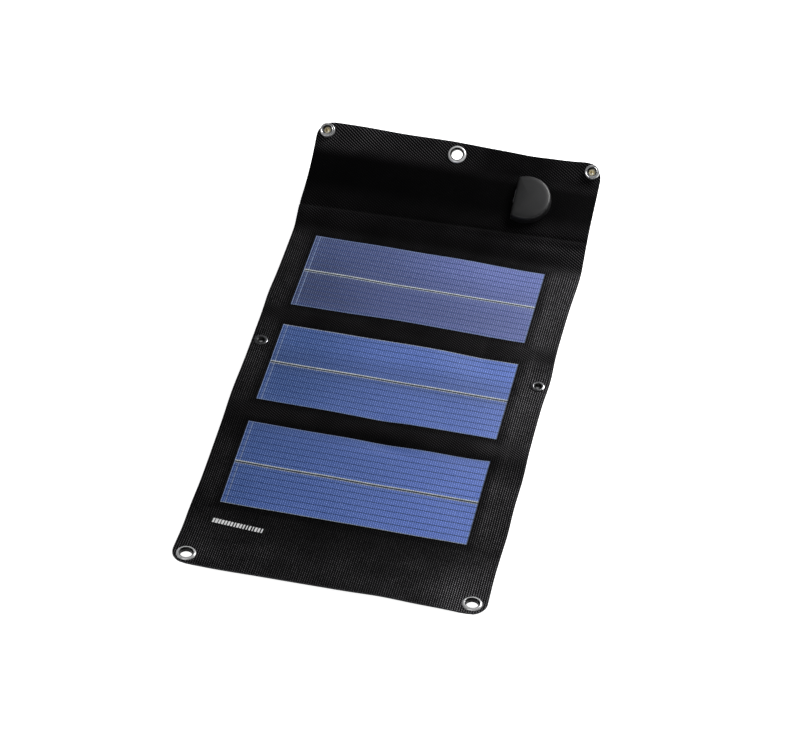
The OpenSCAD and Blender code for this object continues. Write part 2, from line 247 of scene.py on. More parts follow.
# How far the cloth has crept from its even cut: middle x and run, sizes, shift across and along
CREEPS = [
    (-122, 8, 14, 24, -1.3, 0), (-122, 82, 14, 16, -0.7, 0), (-122, 192, 14, 18, -0.8, 0),
    (-122, 312, 14, 26, -0.7, 0), (-122, 444, 14, 20, -0.9, 0), (-122, 500, 14, 30, -1.1, 0),
    (122, 20, 14, 40, 0.4, 0), (122, 108, 14, 34, 1.5, 0), (122, 240, 14, 22, 1.3, 0),
    (122, 356, 14, 26, 1.0, 0), (122, 414, 14, 22, 0.9, 0), (122, 498, 14, 26, 1.1, 0),
    (-92, 0, 44, 9, 0, -1.7), (-12, 0, 34, 9, 0, -1.3), (62, 0, 16, 9, 0, 0.8),
    (114, 0, 16, 9, 0, -1.7), (-84, 507, 26, 9, 0, 0.9), (42, 507, 22, 9, 0, -1.5),
    (112, 507, 14, 9, 0, 0.9), (96, 114, 46, 34, 0, 1.9), (0, 203, 44, 12, 0, -0.9),
    (10, 228, 32, 10, 0, -0.8), (96, 228, 24, 14, 0, 0.9), (100, 342, 16, 12, 0, -1.0),
    (-12, 317, 26, 10, 0, 0.6),
]


def on_sheet(x, run, height, front=True):
    """Where a flat point comes to lie: crept, rippled, and never under the table."""
    across, along = x, run
    for at_x, at_run, size_x, size_run, shift_x, shift_run in CREEPS:
        pull = mound(x, run, at_x, at_run, size_x, size_run)
        across = across + shift_x * pull
        along = along + shift_run * pull
    lift = ripple(across, along)
    point = place(across, along, lift + height + (relief(across, along) if front else 0))
    point[..., 2] -= np.minimum(place(across, along, lift)[..., 2], 0)
    return point


def link_mesh(name, vertices, faces):
    mesh = bpy.data.meshes.new(name)
    mesh.from_pydata([tuple(v) for v in vertices], [], [tuple(f) for f in faces])
    piece = bpy.data.objects.new(name, mesh)
    scene.collection.objects.link(piece)
    return piece


def map_cloth(mesh, x, run):
    """UV map in metres across and along the cloth, so that a weave follows the sheet."""
    layer = mesh.uv_layers.new(name="cloth")
    corner = np.empty(len(mesh.loops), np.int32)
    mesh.loops.foreach_get("vertex_index", corner)
    flat = np.stack([x[corner] + PANEL_W / 2, run[corner]], -1) / 1000
    layer.data.foreach_set("uv", flat.astype(np.float32).ravel())


def smooth_over(mesh, angle=32):
    mesh.polygons.foreach_set("use_smooth", np.ones(len(mesh.polygons), bool))
    mesh.set_sharp_from_angle(angle=math.radians(angle))
    mesh.update()


def fresh_finish(name, settings):
    """A new material whose constant values sit on the shader's own sockets."""
    material = bpy.data.materials.new(name)
    material.use_nodes = True
    shader = material.node_tree.nodes["Principled BSDF"]
    for socket, value in settings.items():
        shader.inputs[socket].default_value = value
    return material, material.node_tree, shader


def put(tree, kind, links=(), **settings):
    """Adds a node; links is a list of (input, source or value)."""
    node = tree.nodes.new(kind)
    for name, value in settings.items():
        setattr(node, name, value)
    for socket, source in links:
        if isinstance(source, bpy.types.NodeSocket):
            tree.links.new(source, node.inputs[socket])
        else:
            node.inputs[socket].default_value = source
    return node


def calc(tree, operation, *terms):
    return put(tree, "ShaderNodeMath", list(enumerate(terms)), operation=operation).outputs[0]


def cloth_place(tree):
    sheet_map = put(tree, "ShaderNodeUVMap", uv_map="cloth")
    split = put(tree, "ShaderNodeSeparateXYZ", [(0, sheet_map.outputs[0])])
    return sheet_map.outputs[0], split.outputs[0], split.outputs[1]


def wave(tree, value, pitch, shift=0.0):
    """Sine of a length in metres, once for each pitch in mm."""
    turned = calc(tree, "MULTIPLY_ADD", value, 2 * math.pi / (pitch / 1000), shift)
    return calc(tree, "SINE", turned)


def mottle(tree, vector, scale, detail=3.0):
    return put(
        tree, "ShaderNodeTexNoise", [("Vector", vector), ("Scale", scale), ("Detail", detail)]
    ).outputs[0]


def ramp(tree, factor, stops):
    node = put(tree, "ShaderNodeValToRGB", [(0, factor)])
    while len(node.color_ramp.elements) < len(stops):
        node.color_ramp.elements.new(0.5)
    for element, (at, colour) in zip(node.color_ramp.elements, stops):
        element.position = at
        element.color = (*colour, 1)
    return node.outputs[0]


def mottled_finish(name, settings, scale, stops):
    """A finish whose colour drifts softly between two tones."""
    material, tree, shader = fresh_finish(name, settings)
    spot = put(tree, "ShaderNodeTexCoord").outputs["Object"]
    tree.links.new(ramp(tree, mottle(tree, spot, scale), stops), shader.inputs["Base Color"])
    return material, tree, shader, spot


def raise_bumps(tree, shader, height, strength, distance):
    bump = put(
        tree,
        "ShaderNodeBump",
        [("Height", height), ("Strength", strength), ("Distance", distance)],
    )
    tree.links.new(bump.outputs[0], shader.inputs["Normal"])


DOT_PITCH = 1.75
DOT_STEP = 2.1


def embossed_dots(tree):
    """Fine columns of dots along the length of the film, from 0 to 1."""
    where, across, along = cloth_place(tree)
    columns = wave(tree, across, DOT_PITCH)
    pairs = wave(tree, across, 2 * DOT_PITCH, 0.8)
    lattice = calc(tree, "MULTIPLY", pairs, wave(tree, along, DOT_STEP))
    dots = calc(tree, "MULTIPLY_ADD", columns, 0.34, 0.5)
    dots = calc(tree, "MULTIPLY_ADD", lattice, 0.16, dots)
    dots = calc(tree, "POWER", dots, 5.0)
    grain = calc(tree, "MULTIPLY_ADD", mottle(tree, where, 390.0, 1.0), 2.6, 0.1)
    return where, across, along, calc(tree, "MULTIPLY", dots, grain)


def along_sheet(tree, along, stops):
    """A value that changes with the run; stops are (run in mm, value), the ends hold on."""
    share = calc(tree, "MULTIPLY", along, 1000 / PANEL_L)
    return ramp(tree, share, [(run / PANEL_L, (value,) * 3) for run, value in stops])


# Film with dots lies on the stiff plates; the cloth's twill shows at the folds and on the flap
FILM_ZONES = [(109.0, 203.0), (225.0, 319.0), (341.0, PANEL_L)]
# Painted shade and sheen along the run: dark over the flap, which faces away from the lights,
# lighter at the folds and towards the hem
FILM_PAINTED_LIGHT = [
    (0, 1.0), (16, 0.8), (22, 0.45), (30, 0.06), (54, 0.05), (66, 0.22), (76, 0.25), (79, 0.4),
    (84, 0.6), (90, 0.38), (97, 0.32), (104, 0.55), (116, 1.0), (150, 1.0), (202, 0.9),
    (210, 0.6), (218, 0.58), (232, 0.8), (262, 1.2), (300, 0.95), (330, 0.65), (344, 0.36),
    (356, 0.48), (372, 0.78), (428, 0.85), (438, 0.52), (456, 0.74), (468, 1.05), (486, 1.6),
    (507, 1.4),
]
# Painted sheen across the sheet: a reflection that grows towards the right side
SIDE_PAINTED_SHEEN = [
    (0, 0.72), (15, 0.7), (30, 0.6), (100, 0.42), (160, 0.55), (200, 0.85), (225, 1.55),
    (245, 1.5),
]
TWILL_ACROSS = 3.42
TWILL_ALONG = 2.35

embossed_film, tree, shader = fresh_finish(
    "embossed_film", {"Roughness": 0.42, "Specular IOR Level": 0.025}
)
where, across, along, dots = embossed_dots(tree)
diagonal = calc(tree, "MULTIPLY_ADD", along, -TWILL_ACROSS / TWILL_ALONG, across)
twill = calc(tree, "MULTIPLY_ADD", wave(tree, diagonal, TWILL_ACROSS), 0.4, 0.5)
twill = calc(tree, "MULTIPLY_ADD", wave(tree, across, DOT_PITCH), 0.1, twill)
twill = calc(tree, "POWER", twill, 5.0)
fold_stops = [(0, 1)]
for low, high in FILM_ZONES:
    fold_stops += [(low - 6, 1), (low, 0), (min(high, PANEL_L - 1), 0)]
    fold_stops += [(high + 6, 1)] if high < PANEL_L else []
at_folds = along_sheet(tree, along, fold_stops)
pattern = calc(
    tree, "MULTIPLY_ADD", calc(tree, "SUBTRACT", twill, dots), at_folds, dots
)
# The film bridges smoothly round each module, and painted shade darkens it in a band beside the
# raised edge
middle_across = (MODULE_LEFT + PANEL_W / 2 + MODULE_W / 2) / 1000
from_middle = calc(tree, "ABSOLUTE", calc(tree, "SUBTRACT", across, middle_across))
off_side = calc(tree, "SUBTRACT", from_middle, MODULE_W / 2000)
middle_along = (MODULE_RUNS[0] + MODULE_MIDDLE) / 1000
past_first = calc(tree, "SUBTRACT", along, middle_along)
from_middle = calc(tree, "PINGPONG", past_first, MODULE_PITCH / 2000)
off_end = calc(tree, "SUBTRACT", from_middle, MODULE_L / 2000)
off_module = calc(tree, "MAXIMUM", off_side, off_end)
module_edge_shade = ramp(
    tree, calc(tree, "MULTIPLY", off_module, 100.0),
    [(0.2, (0.45, 0.45, 0.45)), (0.4, (0.6, 0.6, 0.6)), (0.75, (1, 1, 1))],
)
by_module = along_sheet(tree, along, [(96, 0), (100, 1), (440, 1), (446, 0)])
module_edge_shade = calc(tree, "MULTIPLY_ADD", calc(tree, "SUBTRACT", module_edge_shade, 1.0), by_module, 1.0)
# Random mottling, partly wear and partly painted sheen from the film's undulations
wear_and_sheen = calc(tree, "MULTIPLY_ADD", mottle(tree, where, 34.0), 1.7, 0.15)
tone = calc(tree, "MULTIPLY", wear_and_sheen, along_sheet(tree, along, FILM_PAINTED_LIGHT))
tone = calc(tree, "MULTIPLY", tone, along_sheet(tree, across, SIDE_PAINTED_SHEEN))
tone = calc(tree, "MULTIPLY", tone, module_edge_shade)
# Painted highlight: the curled rim of the flap catches light at its left half only
on_rim = along_sheet(tree, along, [(0, 1), (20, 1), (28, 0)])
rim_side = along_sheet(tree, across, [(0, 1.9), (40, 2.3), (115, 2.0), (150, 0.4), (245, 0.35)])
rim_painted_highlight = calc(tree, "MULTIPLY_ADD", calc(tree, "SUBTRACT", rim_side, 1.0), on_rim, 1.0)
tone = calc(tree, "MULTIPLY", tone, rim_painted_highlight)
# The relief of dots and twill is real; its bright peaks in the colour are painted highlights on the
# embossed ridges
tone = calc(tree, "MULTIPLY", tone, pattern)
ink = put(
    tree, "ShaderNodeVectorMath", [(0, (0.112, 0.109, 0.115)), ("Scale", tone)], operation="SCALE"
)
black = put(
    tree, "ShaderNodeVectorMath", [(0, ink.outputs[0]), (1, (0.0007, 0.0007, 0.0008))],
    operation="ADD",
)
tree.links.new(black.outputs[0], shader.inputs["Base Color"])
raise_bumps(tree, shader, pattern, 0.5, 0.0002)

rear_cloth, tree, shader = fresh_finish(
    "rear_cloth", {"Roughness": 0.75, "Specular IOR Level": 0.2, "Sheen Weight": 0.15}
)
where, across, along = cloth_place(tree)
plain_weave = calc(tree, "MULTIPLY", wave(tree, across, 1.3), wave(tree, along, 1.3))
plain_weave = calc(tree, "MULTIPLY_ADD", plain_weave, 0.5, 0.5)
tone = calc(
    tree, "MULTIPLY_ADD", mottle(tree, where, 30.0), 0.6, calc(tree, "MULTIPLY", plain_weave, 0.5)
)
tree.links.new(
    ramp(tree, tone, [(0.2, (0.004, 0.004, 0.005)), (0.85, (0.02, 0.02, 0.023))]),
    shader.inputs["Base Color"],
)
raise_bumps(tree, shader, plain_weave, 0.6, 0.0002)

# Name, start and end run, the bodies on either side of its fold, the fold, and the CAD nodes
LAMINATE_PARTS = [
    ("laminate_flap", 0.0, 90.0, "flap", "spine", 0,
     ["rear_cloth_flap", "front_film_flap", "fold_flap"]),
    ("laminate_spine", 90.0, 155.5, "spine", "panel_1", 1,
     ["rear_cloth_spine", "front_film_spine", "fold_spine", "rear_cloth_1", "front_film_1"]),
    ("laminate_middle", 155.5, 271.5, "panel_1", "panel_2", 2,
     ["fold_1_2", "rear_cloth_2", "front_film_2"]),
    ("laminate_outer", 271.5, 387.5, "panel_2", "panel_3", 3,
     ["fold_2_3", "rear_cloth_3", "front_film_3"]),
    ("laminate_hem", 387.5, PANEL_L, "panel_3", "hem", 4,
     ["rear_cloth_hem", "front_film_hem", "fold_hem"]),
]


def spaced(fixed, loose, gap):
    """Sorted values: all the fixed ones, and the loose ones that keep their distance."""
    kept = sorted(fixed)
    for value in loose:
        if min(abs(value - other) for other in kept) > gap:
            kept.append(value)
    return np.array(sorted(kept))


def sheet_rows(start, end):
    fixed = [start, end]
    loose = [0.25, 0.9, 2.0, 3.6, 5.8, 8.2, 10.6, CORNER_R, PANEL_L - CORNER_R]
    loose += [PANEL_L - d for d in (0.25, 0.9, 2.0, 3.6, 5.8, 8.2, 10.6)]
    for fold, half in zip(FOLD_RUNS, FOLD_HALVES):
        loose += list(np.arange(fold - half - 3, fold + half + 3, 1.0))
    loose += list(np.arange(70.0, 84.0, 0.8))
    loose = [r for r in loose if start < r < end]
    return spaced(spaced(fixed, loose, 0.45), list(np.arange(start, end, 2.2)), 1.2)


sheet_columns = spaced(
    [-PANEL_W / 2, PANEL_W / 2, -PANEL_W / 2 + 0.6, PANEL_W / 2 - 0.6],
    list(np.arange(93.0, 112.0, 1.1)),
    0.5,
)
sheet_columns = spaced(sheet_columns, list(np.arange(-PANEL_W / 2, PANEL_W / 2, 2.3)), 1.1)


def flat_sheet(start, end):
    """x and run of every grid point; the columns draw in at the round outer corners."""
    rows = sheet_rows(start, end)
    run = np.repeat(rows[:, None], len(sheet_columns), 1)
    x = np.repeat(sheet_columns[None, :], len(rows), 0)
    inner = PANEL_W / 2 - 2 * CORNER_R
    for row, value in enumerate(rows):
        depth = min(value, PANEL_L - value)
        if depth < CORNER_R:
            reach = PANEL_W / 2 - CORNER_R + math.sqrt(CORNER_R**2 - (CORNER_R - depth) ** 2)
            outside = np.abs(x[row]) > inner
            drawn = inner + (np.abs(x[row]) - inner) * (reach - inner) / (PANEL_W / 2 - inner)
            x[row] = np.where(outside, np.sign(x[row]) * drawn, x[row])
    return x, run


def ring_of(count_rows, count_columns):
    """Grid indices once round the edge of the sheet."""
    index = np.arange(count_rows * count_columns).reshape(count_rows, count_columns)
    return np.concatenate([index[0], index[1:, -1], index[-1, -2::-1], index[-2:0:-1, 0]])


EYELET_HOLE = 5.3
SNAP_HOLE = 2.7


def punch(piece, spots, radius):
    """Punches round holes through the laminate for its fasteners."""
    for at_x, at_run in spots:
        count = 40
        turn = np.arange(count) * 2 * math.pi / count
        rim_x, rim_run = at_x + radius * np.cos(turn), at_run + radius * np.sin(turn)
        wall = np.concatenate([place(rim_x, rim_run, -4), place(rim_x, rim_run, 6)])
        sides = [(i, i + count, (i + 1) % count + count, (i + 1) % count) for i in range(count)]
        ends = [tuple(range(count)), tuple(range(2 * count - 1, count - 1, -1))]
        die = link_mesh("die", wall, sides + ends)
        cut = piece.modifiers.new("punch", "BOOLEAN")
        cut.object = die
        cut.solver = "EXACT"
        settle(piece)
        bpy.data.objects.remove(die)


def settle(piece):
    """Applies every modifier, so that the piece is a plain mesh."""
    layer = bpy.context.evaluated_depsgraph_get()
    mesh = bpy.data.meshes.new_from_object(piece.evaluated_get(layer), depsgraph=layer)
    mesh.name = piece.name
    piece.modifiers.clear()
    piece.data = mesh


for name, start, end, body_a, body_b, fold, nodes in LAMINATE_PARTS:
    x, run = flat_sheet(start, end)
    n_rows, n_columns = x.shape
    flat_x, flat_run = x.ravel(), run.ravel()
    front = on_sheet(flat_x, flat_run, TOP)
    back = on_sheet(flat_x, flat_run, 0, front=False)
    index = np.arange(n_rows * n_columns).reshape(n_rows, n_columns)
    quads = np.stack(
        [index[:-1, :-1], index[1:, :-1], index[1:, 1:], index[:-1, 1:]], -1
    ).reshape(-1, 4)
    ring = ring_of(n_rows, n_columns)
    after = np.roll(ring, -1)
    side_quads = np.stack([ring, after, after + index.size, ring + index.size], -1)
    faces = np.concatenate([quads, quads[:, ::-1] + index.size, side_quads])
    sheet_piece = link_mesh(name, np.concatenate([front, back]), faces)
    mesh = sheet_piece.data
    map_cloth(mesh, np.tile(flat_x, 2), np.tile(flat_run, 2))
    for material in (embossed_film, rear_cloth):
        mesh.materials.append(material)
    slots = np.ones(len(faces), np.int32)
    slots[: len(quads)] = 0
    mesh.polygons.foreach_set("material_index", slots)
    if fold == 0:
        punch(sheet_piece, EYELETS[:1], EYELET_HOLE)
        punch(sheet_piece, SOCKETS, SNAP_HOLE)
    elif fold == 2:
        punch(sheet_piece, POSTS, SNAP_HOLE)
    elif fold == 4:
        punch(sheet_piece, EYELETS[1:], EYELET_HOLE)
    smooth_over(sheet_piece.data)
    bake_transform(sheet_piece)
    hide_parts(*nodes)

# ---------------------------------------------------------------------------------------------
# Modules
# Each of the three modules is two thin-film cells one above the other, with a printed silver
# joint between them, a bare contact strip along the left edge and fine collector lines. They
# are welded under the film, which raises their outline a little.
# ---------------------------------------------------------------------------------------------
CELL_LIFT = 0.1
JOINT_H = 2.2
CELL_H = (MODULE_L - 0.6 - JOINT_H) / 2


def new_tree(name, sizes):
    """A geometry tree with one named input for each size."""
    tree = bpy.data.node_groups.new(name, "GeometryNodeTree")
    tree.is_modifier = True
    for label, value in sizes.items():
        kind = "NodeSocketFloat"
        if isinstance(value, bpy.types.Material):
            kind = "NodeSocketMaterial"
        elif isinstance(value, int):
            kind = "NodeSocketInt"
        tree.interface.new_socket(label, in_out="INPUT", socket_type=kind)
    tree.interface.new_socket("Geometry", in_out="OUTPUT", socket_type="NodeSocketGeometry")
    return tree, put(tree, "NodeGroupInput").outputs


def close_tree(tree, given, geometry):
    """Ends a tree in Realize Instances and Set Material."""
    real = put(tree, "GeometryNodeRealizeInstances", [(0, geometry)])
    painted = put(
        tree, "GeometryNodeSetMaterial", [(0, real.outputs[0]), ("Material", given["Material"])]
    )
    put(tree, "NodeGroupOutput", [(0, painted.outputs[0])])


def vector(tree, *terms):
    return put(tree, "ShaderNodeCombineXYZ", list(enumerate(terms))).outputs[0]


def instance_row(tree, count, first, apart, instance, scale=(1, 1, 1)):
    """Instances of a shape in a straight row."""
    row = put(
        tree, "GeometryNodeMeshLine",
        [("Count", count), ("Start Location", first), ("Offset", apart)], mode="OFFSET",
    )
    return put(
        tree, "GeometryNodeInstanceOnPoints",
        [("Points", row.outputs[0]), ("Instance", instance), ("Scale", scale)],
    ).outputs[0]


def grow(name, tree, sizes):
    """Grows a piece from its tree and bakes it to a plain mesh."""
    piece = link_mesh(name, [], [])
    modifier = piece.modifiers.new(tree.name, "NODES")
    modifier.node_group = tree
    for item in tree.interface.items_tree:
        if item.in_out == "INPUT":
            modifier[item.identifier] = sizes[item.name]
    settle(piece)
    return piece


def lay(piece):
    """Lays a mesh drawn flat, as x, run and height over the film, on the resting sheet."""
    mesh = piece.data
    flat = np.empty(len(mesh.vertices) * 3)
    mesh.vertices.foreach_get("co", flat)
    x, run, height = flat.reshape(-1, 3).T
    map_cloth(mesh, x, run)
    laid = on_sheet(x, run, TOP + height)
    mesh.vertices.foreach_set("co", laid.ravel())
    mesh.flip_normals()
    smooth_over(mesh)


sizes = {
    "Left": CELL_LEFT, "Top": 0.0, "Width": CELL_W, "Height": CELL_H, "Joint": JOINT_H,
    "Thickness": CELL_LIFT * 2, "Columns": 80, "Rows": 20, "Material": embossed_film,
}
cell_tree, given = new_tree("cell_plates", sizes)
plate_size = vector(cell_tree, given["Width"], given["Height"], given["Thickness"])
plate = put(
    cell_tree,
    "GeometryNodeMeshCube",
    [("Size", plate_size), ("Vertices X", given["Columns"]), ("Vertices Y", given["Rows"])],
)
middle_x = calc(cell_tree, "MULTIPLY_ADD", given["Width"], 0.5, given["Left"])
middle_run = calc(cell_tree, "MULTIPLY_ADD", given["Height"], 0.5, given["Top"])
first = vector(cell_tree, middle_x, middle_run)
apart = vector(cell_tree, 0.0, calc(cell_tree, "ADD", given["Height"], given["Joint"]))
close_tree(cell_tree, given, instance_row(cell_tree, 2, first, apart, plate.outputs[0]))
cell_sizes = sizes

# Collector lines: thin dark bars across the cells, at an even pitch
line_sizes = {
    "Left": MODULE_LEFT + 0.3, "Top": 0.0, "Width": CELL_W + 3.7, "Bar": 0.75, "Pitch": 6.5,
    "Lift": 0.12, "Count": 6, "Columns": 80, "Material": embossed_film,
}
line_tree, given = new_tree("collector_lines", line_sizes)
bar_size = vector(line_tree, given["Width"], given["Bar"], 0.06)
bar = put(
    line_tree, "GeometryNodeMeshCube", [("Size", bar_size), ("Vertices X", given["Columns"])]
)
middle_x = calc(line_tree, "MULTIPLY_ADD", given["Width"], 0.5, given["Left"])
first = vector(line_tree, middle_x, given["Top"], given["Lift"])
apart = vector(line_tree, 0.0, given["Pitch"])
ladder = instance_row(line_tree, given["Count"], first, apart, bar.outputs[0])
close_tree(line_tree, given, ladder)


# Painted sheen: the cells' colour grows lighter and darker with the gentle rise and fall of the
# plates
CELL_PAINTED_SHEEN = [
    (110, 1.02), (128, 1.04), (150, 0.86), (190, 0.8), (203, 0.95), (226, 1.03), (246, 1.08),
    (256, 0.9), (274, 0.76), (284, 0.98), (317, 1.06), (342, 0.76), (354, 0.98), (376, 1.06),
    (433, 1.12),
]


def cell_finish(name, left_colour, right_colour):
    """Blue thin film under embossed film, with a painted sheen that makes it paler towards the
    right side.
    """
    material, tree, shader = fresh_finish(
        name, {"Roughness": 0.36, "Specular IOR Level": 0.5, "Coat Weight": 0.2,
               "Coat Roughness": 0.3}
    )
    where, across, along, dots = embossed_dots(tree)
    share = calc(tree, "MULTIPLY_ADD", across, 1 / 0.21, -0.12)
    patches = calc(tree, "MULTIPLY_ADD", mottle(tree, where, 13.0), 0.6, -0.3)
    share = calc(tree, "ADD", share, patches)
    base = ramp(tree, share, [(0.0, left_colour), (1.0, right_colour)])
    # Painted highlights on the film's embossed dots, whitish blue over the cells
    fine = calc(tree, "MULTIPLY_ADD", mottle(tree, where, 420.0, 1.0), 0.5, 0.75)
    light = calc(tree, "MULTIPLY", dots, fine)
    shine = put(
        tree, "ShaderNodeVectorMath", [(0, (0.2, 0.27, 0.44)), ("Scale", light)],
        operation="SCALE",
    )
    tinted = put(
        tree, "ShaderNodeVectorMath", [(0, base), (1, shine.outputs[0])], operation="ADD"
    )
    toned = put(
        tree, "ShaderNodeVectorMath",
        [(0, tinted.outputs[0]), ("Scale", along_sheet(tree, along, CELL_PAINTED_SHEEN))],
        operation="SCALE",
    )
    tree.links.new(toned.outputs[0], shader.inputs["Base Color"])
    raise_bumps(tree, shader, dots, 0.45, 0.00016)
    return material


cell_violet = cell_finish("cell_violet", (0.022, 0.031, 0.105), (0.10, 0.125, 0.36))
cell_blue = cell_finish("cell_blue", (0.015, 0.055, 0.215), (0.085, 0.155, 0.51))
cell_deep = cell_finish("cell_deep", (0.022, 0.068, 0.26), (0.085, 0.16, 0.54))


def inked_finish(name, stops):
    """Dark print under the film, lightened by painted highlights on the film's dots."""
    material, tree, shader = fresh_finish(name, {"Roughness": 0.4, "Specular IOR Level": 0.5})
    dots = embossed_dots(tree)[3]
    tree.links.new(ramp(tree, dots, stops), shader.inputs["Base Color"])
    return material


collector_ink = inked_finish(
    "collector_ink", [(0.0, (0.006, 0.022, 0.11)), (0.7, (0.12, 0.2, 0.48))]
)
joint_gap = inked_finish(
    "joint_gap", [(0.2, (0.002, 0.003, 0.008)), (0.9, (0.012, 0.016, 0.03))]
)


def printed_finish(name, dark, bright):
    """Printed metal under the film, broken by painted highlights on the film's dots."""
    material, tree, shader = fresh_finish(name, {"Roughness": 0.4, "Specular IOR Level": 0.4})
    where, across, along, dots = embossed_dots(tree)
    tone = calc(
        tree, "MULTIPLY_ADD", mottle(tree, where, 160.0), 0.5, calc(tree, "MULTIPLY", dots, 0.9)
    )
    tree.links.new(ramp(tree, tone, [(0.15, dark), (0.75, bright)]), shader.inputs["Base Color"])
    return material


silver_print = printed_finish("silver_print", (0.3, 0.34, 0.36), (0.9, 0.95, 0.95))
# Dim silver print, also used for the painted glints on the raised edges of two modules
dim_silver_and_glint = printed_finish("dim_silver_and_glint", (0.13, 0.16, 0.23), (0.6, 0.66, 0.72))
pale_contact = printed_finish("pale_contact", (0.07, 0.12, 0.27), (0.36, 0.44, 0.62))


def flat_bar(name, left, right, low, high, bottom, top, columns, material, rows=2, turn=None):
    """A thin closed bar drawn flat, turned if need be, then laid on the sheet."""
    xs = np.linspace(left, right, columns)
    runs = np.linspace(low, high, rows)
    grid_x, grid_run = np.meshgrid(xs, runs)
    index = np.arange(grid_x.size).reshape(grid_x.shape)
    vertices = [
        np.stack([grid_x.ravel(), grid_run.ravel(), np.full(grid_x.size, h)], -1)
        for h in (top, bottom)
    ]
    quads = np.stack(
        [index[:-1, :-1], index[:-1, 1:], index[1:, 1:], index[1:, :-1]], -1
    ).reshape(-1, 4)
    ring = ring_of(*grid_x.shape)
    after = np.roll(ring, -1)
    side_quads = np.stack([ring + index.size, after + index.size, after, ring], -1)
    faces = np.concatenate([quads, quads[:, ::-1] + index.size, side_quads])
    piece = link_mesh(name, np.concatenate(vertices), faces)
    piece.data.materials.append(material)
    if turn:
        turn(piece)
    lay(piece)
    return piece


def join_pieces(name, pieces):
    """Welds several pieces of one group to a single piece."""
    target = pieces[0]
    with bpy.context.temp_override(
        active_object=target, selected_editable_objects=pieces, selected_objects=pieces
    ):
        bpy.ops.object.join()
    target.name = target.data.name = name
    return target


MODULE_FINISH = [cell_violet, cell_blue, cell_deep]
# Run of the first collector line of each module's upper and lower cell
FIRST_LINES = [(117.8, 166.2), (231.4, 277.2), (351.2, 393.4)]
cell_right = CELL_LEFT + CELL_W
for number, module_run in enumerate(MODULE_RUNS, 1):
    body = f"panel_{number}"
    sizes = dict(cell_sizes, Top=module_run + 0.9, Material=MODULE_FINISH[number - 1])
    cells = grow(f"cells_{number}", cell_tree, sizes)
    lay(cells)
    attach(cells, body)
    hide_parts(f"upper_cell_{number}", f"lower_cell_{number}")

    ladders = []
    for half in (0, 1):
        top_line = FIRST_LINES[number - 1][half]
        sizes = dict(line_sizes, Top=top_line, Material=collector_ink)
        ladders.append(grow(f"lines_{number}_{half}", line_tree, sizes))
    for ladder_piece in ladders:
        lay(ladder_piece)
    lines = join_pieces(f"collector_lines_{number}", ladders)
    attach(lines, body)

    middle = module_run + 1.4 + CELL_H + JOINT_H / 2
    edge = MODULE_LEFT + 0.4
    joint = [
        flat_bar("joint_a", edge, cell_right, middle - 1.7, middle - 0.6, -0.05, 0.2,
                 90, silver_print),
        flat_bar("joint_b", edge, cell_right, middle + 0.7, middle + 1.6, -0.05, 0.18,
                 90, dim_silver_and_glint),
        flat_bar("joint_c", edge, cell_right, middle - 0.6, middle + 0.7, -0.05, 0.14,
                 90, joint_gap),
    ]
    joint = join_pieces(f"cell_joint_lines_{number}", joint)
    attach(joint, body)
    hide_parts(f"cell_joint_{number}")

    module_top, module_end = module_run + 0.9, module_run + MODULE_L + 0.3
    strip = [
        flat_bar("strip", MODULE_LEFT, CELL_LEFT, module_top, module_end, -0.1, 0.1, 6,
                 MODULE_FINISH[number - 1], 46),
        flat_bar("strip_line", CELL_LEFT - 0.9, CELL_LEFT + 0.1, module_top, module_end, -0.1,
                 0.13, 3, pale_contact, 46),
        flat_bar("left_edge", MODULE_LEFT - 0.1, edge, module_top, module_end, -0.1, 0.14, 3,
                 pale_contact, 46),
        flat_bar("right_edge", cell_right - 0.6, cell_right, module_top, module_end, -0.1, 0.14,
                 3, pale_contact, 46),
        # Painted glint: module 2's top edge and module 3's low edge get a bright silver line for
        # light caught on the raised edge; the other edges are pale contact print
        flat_bar("top_edge", edge, cell_right, module_top, module_top + 0.7, -0.1, 0.15, 90,
                 dim_silver_and_glint if number == 2 else pale_contact),
        flat_bar("low_edge", edge, cell_right, module_end - 0.6, module_end, -0.1, 0.15, 90,
                 dim_silver_and_glint if number == 3 else pale_contact),
    ]
    strip = join_pieces(f"contact_edges_and_glints_{number}", strip)
    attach(strip, body)
    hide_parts(f"contact_strip_{number}")

ribbon_copper = mottled_finish(
    "tinned_ribbon", {"Roughness": 0.35, "Metallic": 1.0}, 300.0,
    [(0.3, (0.45, 0.26, 0.15)), (0.7, (0.75, 0.5, 0.36))],
)[0]
for number in (1, 2, 3):
    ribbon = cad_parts[f"bus_ribbon_{number}"]
    ribbon.data.materials.clear()
    ribbon.data.materials.append(ribbon_copper)

# ---------------------------------------------------------------------------------------------
# Turned fasteners
# Eyelets, ring snaps and their posts are pressed from sheet metal, so each is a round profile
# swept once about its axis. The eyelets and sockets are nickel plated, the posts are black nickel,
# and painted shade darkens the inside of each bore.
# ---------------------------------------------------------------------------------------------
SEGMENTS = 56


def seat(x, run):
    """Matrix of a fastener's own frame in mm: z square to the cloth, from its rear face."""
    origin = Vector(place(x, run, 0.0))
    slope = float(np.interp(run, run_line, slope_line))
    turn = Matrix.Rotation(slope, 4, "X")
    return Matrix.Translation(origin) @ turn @ Matrix.Scale(0.001, 4)


